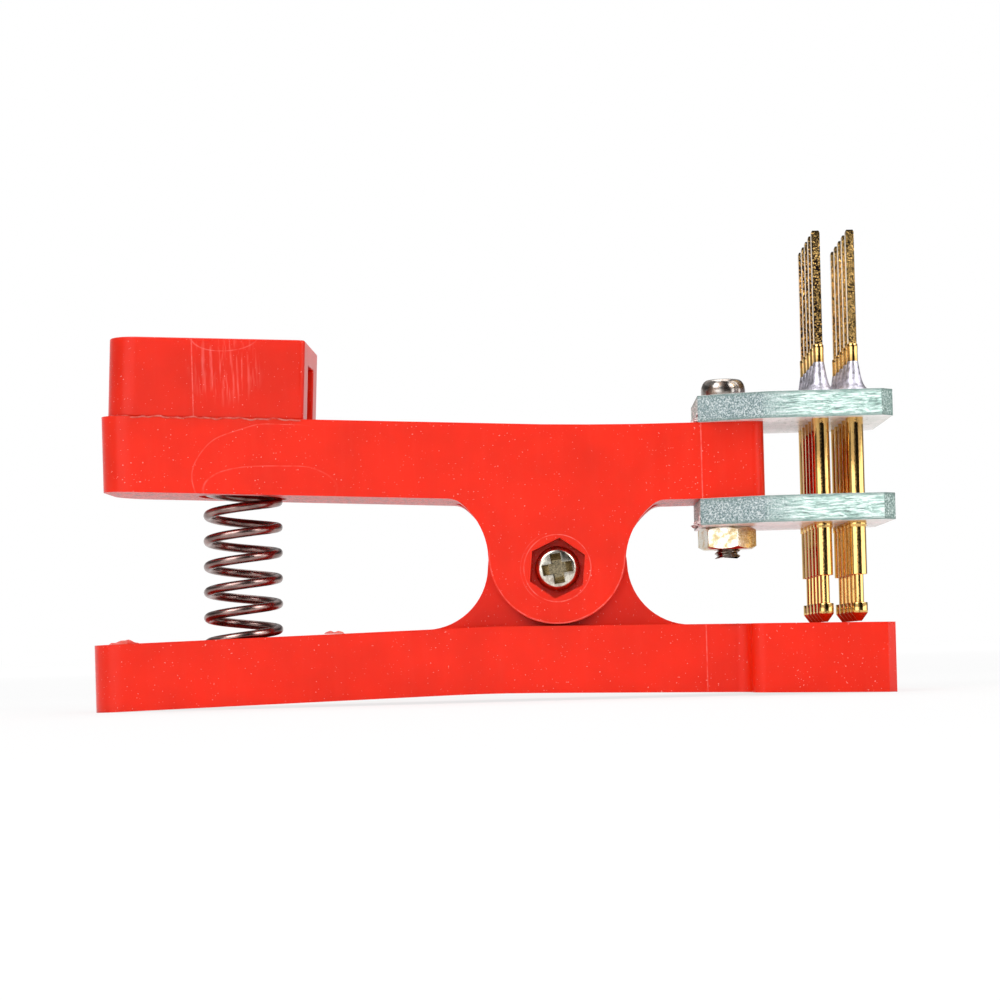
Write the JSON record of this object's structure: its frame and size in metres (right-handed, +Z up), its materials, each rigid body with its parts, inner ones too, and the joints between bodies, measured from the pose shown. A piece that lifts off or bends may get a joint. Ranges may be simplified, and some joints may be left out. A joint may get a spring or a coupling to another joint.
{
  "type": "pcb test fixture",
  "caption": "Hand-held clamp with a spring-loaded pivoting jaw that presses two rows of sprung probes on the edge of a circuit board.",
  "frame": {"origin": "on the surface that the clamp stands on, under the middle of its length", "axes": "+X from the handles to the probes, +Y away from the pivot screw's head, +Z up"},
  "size_m": [0.0604, 0.0138, 0.0345],
  "materials": {
    "lower_jaw_plastic": "moulded, satin",
    "upper_jaw_plastic": "moulded, satin",
    "cable_guide_plastic": "moulded, satin",
    "spring_steel": "dark oiled",
    "screw_steel": "plated",
    "nut_steel": "plated",
    "board_laminate": "glass-epoxy laminate",
    "probe_gold": "gold plated",
    "solder": "bright solder"
  },
  "bodies": {
    "lower_arm": {"lower_jaw": "lower_jaw_plastic", "main_spring": "spring_steel"},
    "upper_arm": {"upper_jaw": "upper_jaw_plastic", "cable_guide": "cable_guide_plastic", "pivot_screw": "screw_steel", "pivot_nut": "nut_steel", "upper_board": "board_laminate", "lower_board": "board_laminate", "board_screw": "screw_steel", "board_nut": "nut_steel", "solder_joints": "solder", "receptacle_a1": "probe_gold", "barrel_a1": "probe_gold", "probe_spring_a1": "spring_steel", "receptacle_a2": "probe_gold", "barrel_a2": "probe_gold", "probe_spring_a2": "spring_steel", "receptacle_a3": "probe_gold", "barrel_a3": "probe_gold", "probe_spring_a3": "spring_steel", "receptacle_a4": "probe_gold", "barrel_a4": "probe_gold", "probe_spring_a4": "spring_steel", "receptacle_a5": "probe_gold", "barrel_a5": "probe_gold", "probe_spring_a5": "spring_steel", "receptacle_b1": "probe_gold", "barrel_b1": "probe_gold", "probe_spring_b1": "spring_steel", "receptacle_b2": "probe_gold", "barrel_b2": "probe_gold", "probe_spring_b2": "spring_steel", "receptacle_b3": "probe_gold", "barrel_b3": "probe_gold", "probe_spring_b3": "spring_steel", "receptacle_b4": "probe_gold", "barrel_b4": "probe_gold", "probe_spring_b4": "spring_steel", "receptacle_b5": "probe_gold", "barrel_b5": "probe_gold", "probe_spring_b5": "spring_steel"},
    "probe_a1": {"plunger_a1": "probe_gold"},
    "probe_a2": {"plunger_a2": "probe_gold"},
    "probe_a3": {"plunger_a3": "probe_gold"},
    "probe_a4": {"plunger_a4": "probe_gold"},
    "probe_a5": {"plunger_a5": "probe_gold"},
    "probe_b1": {"plunger_b1": "probe_gold"},
    "probe_b2": {"plunger_b2": "probe_gold"},
    "probe_b3": {"plunger_b3": "probe_gold"},
    "probe_b4": {"plunger_b4": "probe_gold"},
    "probe_b5": {"plunger_b5": "probe_gold"}
  },
  "joints": [
    {"name": "jaw_hinge", "type": "hinge", "parent": "lower_arm", "child": "upper_arm", "pos_m": [0.00498, 0, 0.0099], "axis": [0, -1, 0], "range_deg": [0, 15], "stiffness_Nm_per_rad": 1.35, "deforming": ["main_spring"]},
    {"name": "probe_a1_travel", "type": "slide", "parent": "upper_arm", "child": "probe_a1", "axis": [0, 0, 1], "range_m": [0, 0.002], "stiffness_N_per_m": 360, "deforming": ["probe_spring_a1"]},
    {"name": "probe_a2_travel", "type": "slide", "parent": "upper_arm", "child": "probe_a2", "axis": [0, 0, 1], "range_m": [0, 0.002], "stiffness_N_per_m": 360, "deforming": ["probe_spring_a2"]},
    {"name": "probe_a3_travel", "type": "slide", "parent": "upper_arm", "child": "probe_a3", "axis": [0, 0, 1], "range_m": [0, 0.002], "stiffness_N_per_m": 360, "deforming": ["probe_spring_a3"]},
    {"name": "probe_a4_travel", "type": "slide", "parent": "upper_arm", "child": "probe_a4", "axis": [0, 0, 1], "range_m": [0, 0.002], "stiffness_N_per_m": 360, "deforming": ["probe_spring_a4"]},
    {"name": "probe_a5_travel", "type": "slide", "parent": "upper_arm", "child": "probe_a5", "axis": [0, 0, 1], "range_m": [0, 0.002], "stiffness_N_per_m": 360, "deforming": ["probe_spring_a5"]},
    {"name": "probe_b1_travel", "type": "slide", "parent": "upper_arm", "child": "probe_b1", "axis": [0, 0, 1], "range_m": [0, 0.002], "stiffness_N_per_m": 360, "deforming": ["probe_spring_b1"]},
    {"name": "probe_b2_travel", "type": "slide", "parent": "upper_arm", "child": "probe_b2", "axis": [0, 0, 1], "range_m": [0, 0.002], "stiffness_N_per_m": 360, "deforming": ["probe_spring_b2"]},
    {"name": "probe_b3_travel", "type": "slide", "parent": "upper_arm", "child": "probe_b3", "axis": [0, 0, 1], "range_m": [0, 0.002], "stiffness_N_per_m": 360, "deforming": ["probe_spring_b3"]},
    {"name": "probe_b4_travel", "type": "slide", "parent": "upper_arm", "child": "probe_b4", "axis": [0, 0, 1], "range_m": [0, 0.002], "stiffness_N_per_m": 360, "deforming": ["probe_spring_b4"]},
    {"name": "probe_b5_travel", "type": "slide", "parent": "upper_arm", "child": "probe_b5", "axis": [0, 0, 1], "range_m": [0, 0.002], "stiffness_N_per_m": 360, "deforming": ["probe_spring_b5"]}
  ]
}
